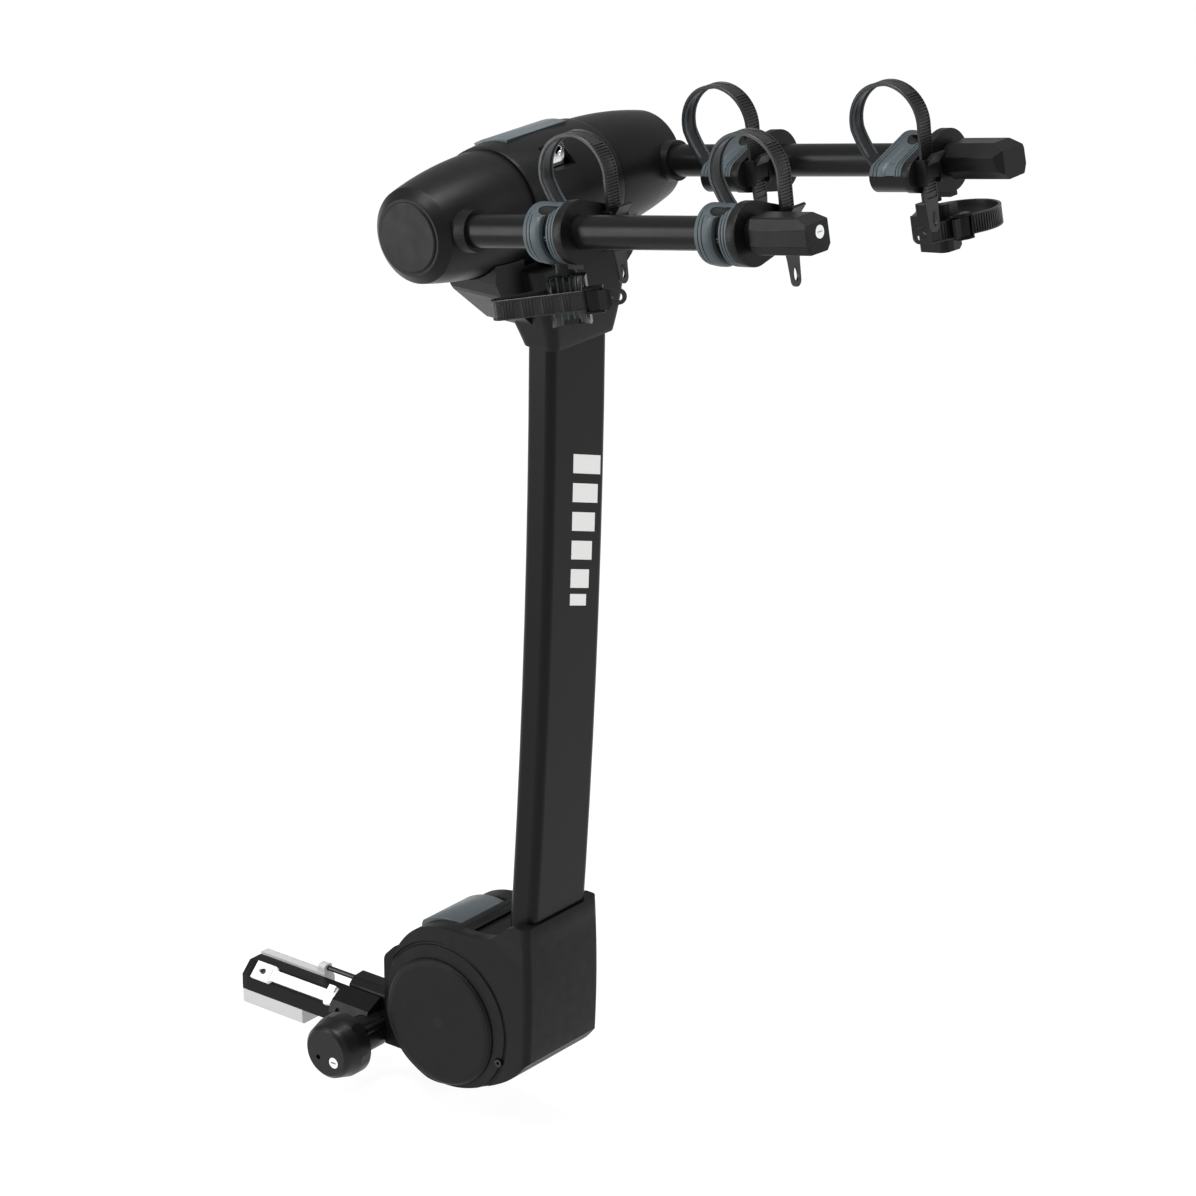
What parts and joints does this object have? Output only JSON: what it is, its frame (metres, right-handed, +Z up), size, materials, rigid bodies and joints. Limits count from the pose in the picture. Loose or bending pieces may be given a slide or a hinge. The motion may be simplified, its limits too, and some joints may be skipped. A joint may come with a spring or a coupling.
{
  "type": "hitch bicycle carrier",
  "caption": "Hanging bicycle carrier for a hitch receiver: a tilting bowed mast with a fold-down pair of tube arms that hold padded strap cradles and anti-sway cages.",
  "frame": {"origin": "centre of the square shank bar, at the end that goes into the hitch receiver", "axes": "+X rearward, away from the vehicle and along the shank bar; +Y across the vehicle; +Z up along the mast"},
  "size_m": [0.9064, 0.4564, 1.1996],
  "materials": {
    "powder_coat": "satin black powder coat",
    "black_plastic": "fine grained black moulded nylon",
    "end_plug_plastic": "plain black plastic",
    "pale_nylon": "pale grey glass filled nylon",
    "white_wedge": "white e-coated steel",
    "steel": "bright zinc plated",
    "dark_steel": "black oxide",
    "chrome": "polished",
    "slate_rubber": "slate grey moulded rubber",
    "slate_grip": "slate grey soft touch grip",
    "strap_rubber": "black thermoplastic elastomer"
  },
  "bodies": {
    "shank": {"hitch_bar": "powder_coat", "bar_end_plug": "end_plug_plastic", "adapter_blocks": "pale_nylon", "adapter_fasteners": "dark_steel", "knob_housing_near": "black_plastic", "knob_housing_far": "black_plastic", "pivot_bracket": "powder_coat", "pivot_bolt": "dark_steel"},
    "wedge": {"wedge": "white_wedge"},
    "draw_screw": {"draw_screw": "dark_steel"},
    "knob": {"knob": "black_plastic", "knob_shaft": "dark_steel"},
    "knob_lock": {"knob_lock_core": "chrome"},
    "mast": {"mast_tube": "powder_coat", "mast_foot": "dark_steel", "pivot_bushes": "pale_nylon", "knuckle_housing": "black_plastic", "pivot_caps": "black_plastic", "knuckle_fasteners": "dark_steel", "lever_pins": "steel", "head_block": "dark_steel", "head_cover": "black_plastic", "head_bracket": "black_plastic", "hook_loop": "chrome"},
    "tilt_lever": {"tilt_lever": "slate_grip"},
    "tilt_latch": {"tilt_latch": "dark_steel"},
    "fold_lever": {"fold_lever": "slate_grip"},
    "fold_latch": {"fold_latch": "dark_steel"},
    "arms": {"cross_shaft": "dark_steel", "hub_near": "black_plastic", "hub_far": "black_plastic", "hub_caps": "end_plug_plastic", "arm_tubes": "powder_coat", "arm_end_near": "black_plastic", "arm_end_far": "black_plastic"},
    "arm_lock": {"arm_lock_core": "chrome"},
    "cradle_near_inner": {"cradle_base_near_inner": "black_plastic", "cradle_liner_near_inner": "slate_rubber", "cradle_strap_near_inner": "strap_rubber"},
    "cradle_lever_near_inner": {"cradle_lever_near_inner": "black_plastic"},
    "cradle_near_outer": {"cradle_base_near_outer": "black_plastic", "cradle_liner_near_outer": "slate_rubber", "cradle_strap_near_outer": "strap_rubber"},
    "cradle_lever_near_outer": {"cradle_lever_near_outer": "black_plastic"},
    "cage_near": {"cage_near": "black_plastic", "cage_pad_near": "slate_rubber", "cage_strap_near": "strap_rubber"},
    "cage_lever_near": {"cage_lever_near": "black_plastic"},
    "cradle_far_inner": {"cradle_base_far_inner": "black_plastic", "cradle_liner_far_inner": "slate_rubber", "cradle_strap_far_inner": "strap_rubber"},
    "cradle_lever_far_inner": {"cradle_lever_far_inner": "black_plastic"},
    "cradle_far_outer": {"cradle_base_far_outer": "black_plastic", "cradle_liner_far_outer": "slate_rubber", "cradle_strap_far_outer": "strap_rubber"},
    "cradle_lever_far_outer": {"cradle_lever_far_outer": "black_plastic"},
    "cage_far": {"cage_far": "black_plastic", "cage_pad_far": "slate_rubber", "cage_strap_far": "strap_rubber"},
    "cage_lever_far": {"cage_lever_far": "black_plastic"}
  },
  "joints": [
    {"name": "knob_turn", "type": "hinge", "parent": "shank", "child": "knob", "pos_m": [0.203, -0.06, -0.004], "axis": [0, 1, 0], "range_deg": [0, 1440]},
    {"name": "screw_turn", "type": "hinge", "parent": "shank", "child": "draw_screw", "pos_m": [0.12, 0, -0.004], "axis": [1, 0, 0], "range_deg": [-1440, 0]},
    {"name": "wedge_slide", "type": "slide", "parent": "shank", "child": "wedge", "axis": [1, 0, 0], "range_m": [0, 0.008]},
    {"name": "knob_lock_turn", "type": "hinge", "parent": "knob", "child": "knob_lock", "pos_m": [0.214, -0.094, -0.013], "axis": [0, 1, 0], "range_deg": [0, 90]},
    {"name": "mast_tilt", "type": "hinge", "parent": "shank", "child": "mast", "pos_m": [0.341, 0, 0.064], "axis": [0, 1, 0], "range_deg": [0, 60]},
    {"name": "tilt_lever_pull", "type": "hinge", "parent": "mast", "child": "tilt_lever", "pos_m": [0.3, 0, 0.152], "axis": [0, 1, 0], "range_deg": [-25, 0], "stiffness_Nm_per_rad": 0.6, "springref_deg": 8.59},
    {"name": "tilt_latch_lift", "type": "slide", "parent": "mast", "child": "tilt_latch", "axis": [0, 0, 1], "range_m": [0, 0.01]},
    {"name": "fold_lever_pull", "type": "hinge", "parent": "mast", "child": "fold_lever", "pos_m": [0.396, 0, 1.0525], "axis": [0, 1, 0], "range_deg": [-12, 0], "stiffness_Nm_per_rad": 0.8, "springref_deg": 8.59},
    {"name": "fold_latch_lift", "type": "slide", "parent": "mast", "child": "fold_latch", "axis": [0, 0, 1], "range_m": [0, 0.006]},
    {"name": "arm_fold", "type": "hinge", "parent": "mast", "child": "arms", "pos_m": [0.427, 0, 1.0045], "axis": [0, 1, 0], "range_deg": [0, 100]},
    {"name": "arm_lock_turn", "type": "hinge", "parent": "arms", "child": "arm_lock", "pos_m": [0.903, -0.159, 1.09218], "axis": [0.9842, 0, 0.1771], "range_deg": [0, 90]},
    {"name": "cradle_turn_near_inner", "type": "hinge", "parent": "arms", "child": "cradle_near_inner", "pos_m": [0.58742, -0.162, 1.03337], "axis": [0.9842, 0, 0.1771], "range_deg": [-20, 20]},
    {"name": "cradle_lever_pull_near_inner", "type": "hinge", "parent": "cradle_near_inner", "child": "cradle_lever_near_inner", "pos_m": [0.63081, -0.115, 1.03507], "axis": [0, 1, 0], "range_deg": [0, 35], "stiffness_Nm_per_rad": 0.02, "springref_deg": -5.73},
    {"name": "cradle_turn_near_outer", "type": "hinge", "parent": "arms", "child": "cradle_near_outer", "pos_m": [0.79607, -0.162, 1.07091], "axis": [0.9842, 0, 0.1771], "range_deg": [-20, 20]},
    {"name": "cradle_lever_pull_near_outer", "type": "hinge", "parent": "cradle_near_outer", "child": "cradle_lever_near_outer", "pos_m": [0.83946, -0.115, 1.07262], "axis": [0, 1, 0], "range_deg": [0, 35], "stiffness_Nm_per_rad": 0.02, "springref_deg": -5.73},
    {"name": "cage_swivel_near", "type": "hinge", "parent": "cradle_near_inner", "child": "cage_near", "pos_m": [0.59935, -0.16, 1.00097], "axis": [-0.1771, 0, 0.9842], "range_deg": [-5, 30]},
    {"name": "cage_lever_pull_near", "type": "hinge", "parent": "cage_near", "child": "cage_lever_near", "pos_m": [0.63886, -0.16985, 0.97556], "axis": [0.1771, 0, -0.9842], "range_deg": [0, 35], "stiffness_Nm_per_rad": 0.02, "springref_deg": -5.73},
    {"name": "cradle_turn_far_inner", "type": "hinge", "parent": "arms", "child": "cradle_far_inner", "pos_m": [0.58742, 0.162, 1.03337], "axis": [0.9842, 0, 0.1771], "range_deg": [-20, 20]},
    {"name": "cradle_lever_pull_far_inner", "type": "hinge", "parent": "cradle_far_inner", "child": "cradle_lever_far_inner", "pos_m": [0.63081, 0.115, 1.03507], "axis": [0, 1, 0], "range_deg": [0, 35], "stiffness_Nm_per_rad": 0.02, "springref_deg": -5.73},
    {"name": "cradle_turn_far_outer", "type": "hinge", "parent": "arms", "child": "cradle_far_outer", "pos_m": [0.79607, 0.162, 1.07091], "axis": [0.9842, 0, 0.1771], "range_deg": [-20, 20]},
    {"name": "cradle_lever_pull_far_outer", "type": "hinge", "parent": "cradle_far_outer", "child": "cradle_lever_far_outer", "pos_m": [0.83946, 0.115, 1.07262], "axis": [0, 1, 0], "range_deg": [0, 35], "stiffness_Nm_per_rad": 0.02, "springref_deg": -5.73},
    {"name": "cage_swivel_far", "type": "hinge", "parent": "cradle_far_outer", "child": "cage_far", "pos_m": [0.808, 0.16, 1.03851], "axis": [0.1771, 0, -0.9842], "range_deg": [-5, 20]},
    {"name": "cage_lever_pull_far", "type": "hinge", "parent": "cage_far", "child": "cage_lever_far", "pos_m": [0.85405, 0.15693, 1.01428], "axis": [-0.1771, 0, 0.9842], "range_deg": [0, 35], "stiffness_Nm_per_rad": 0.02, "springref_deg": -5.73}
  ],
  "couplings": [
    {"joint": "knob_turn", "follows": "wedge_slide", "rad_per_m": 3140},
    {"joint": "screw_turn", "follows": "wedge_slide", "rad_per_m": -3140},
    {"joint": "tilt_lever_pull", "follows": "tilt_latch_lift", "rad_per_m": -43.6},
    {"joint": "fold_lever_pull", "follows": "fold_latch_lift", "rad_per_m": -34.9}
  ]
}
